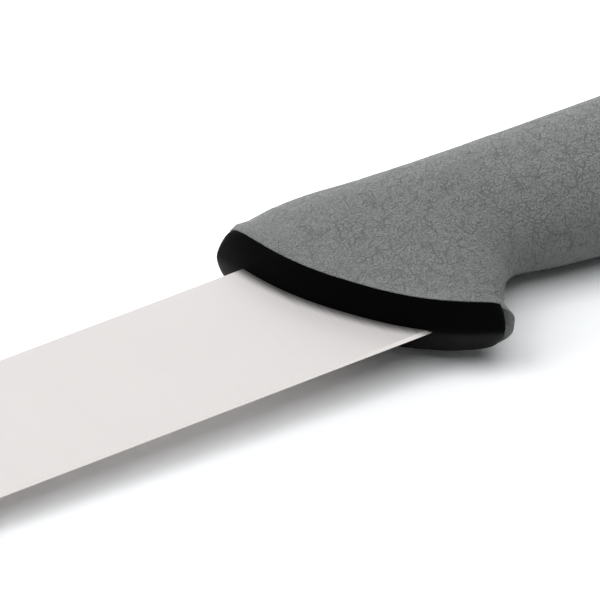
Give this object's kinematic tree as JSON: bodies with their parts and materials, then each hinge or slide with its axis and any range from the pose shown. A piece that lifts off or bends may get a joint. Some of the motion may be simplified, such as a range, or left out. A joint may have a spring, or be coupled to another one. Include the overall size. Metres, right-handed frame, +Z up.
{
  "type": "ham knife",
  "caption": "Long narrow slicing knife with parallel spine and edge, round tip and a two-part moulded handle with a finger guard, lying on its side.",
  "frame": {"origin": "under the middle of the whole knife, on the surface that it lies on", "axes": "+X along the blade towards its tip, +Y towards the cutting edge, +Z up, square to the blade's side"},
  "size_m": [0.5018, 0.0476, 0.0214],
  "materials": {
    "steel": "satin stainless steel, fine grinding lines across the blade",
    "core_plastic": "smooth hard black plastic, semi-gloss",
    "grip": "soft grey thermoplastic with a moulded leather grain, matt"
  },
  "bodies": {
    "root": {"blade": "steel", "handle_core": "core_plastic", "grip_cover": "grip"}
  },
  "joints": []
}
